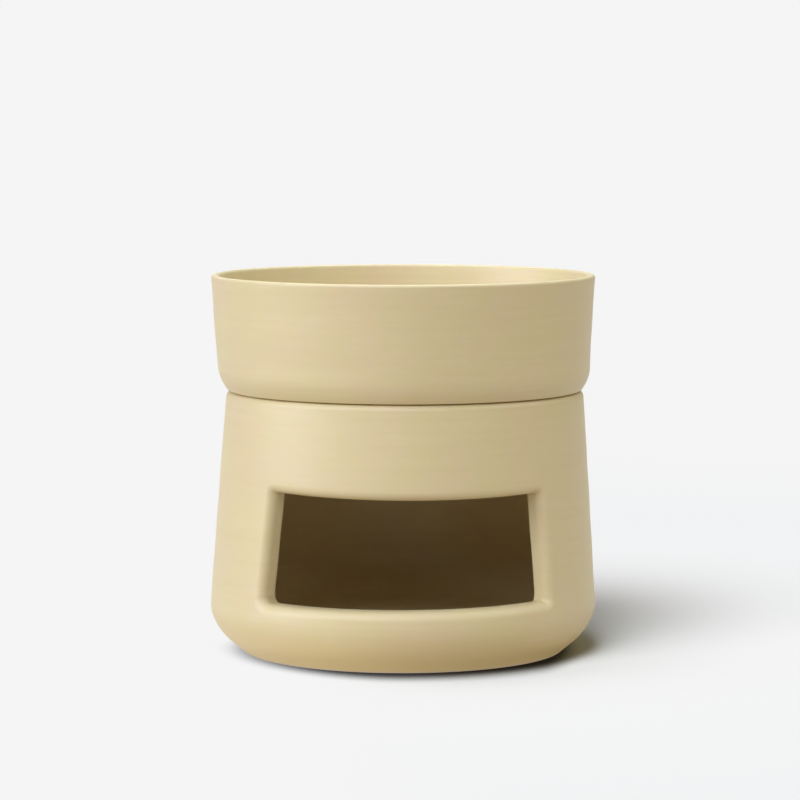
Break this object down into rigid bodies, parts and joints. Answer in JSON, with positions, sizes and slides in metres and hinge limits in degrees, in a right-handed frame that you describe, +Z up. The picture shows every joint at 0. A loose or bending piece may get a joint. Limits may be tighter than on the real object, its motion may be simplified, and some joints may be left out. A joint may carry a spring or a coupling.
{
  "type": "ceramic oil burner",
  "caption": "Hollow tapered ceramic stand with a wide front window for a tealight, and a shallow round dish that rests on its rim and lifts off.",
  "frame": {"origin": "on the resting surface, under the middle of the base", "axes": "+Z up along the burner's axis, the window faces -Y, +X to the right seen from the window"},
  "size_m": [0.1102, 0.1102, 0.1072],
  "materials": {
    "glaze": "satin cream glaze"
  },
  "bodies": {
    "base": {"burner_base": "glaze"},
    "dish": {"oil_dish": "glaze"}
  },
  "joints": [
    {"name": "dish_lift", "type": "slide", "parent": "base", "child": "dish", "axis": [0, 0, 1], "range_m": [0, 0.06]}
  ]
}
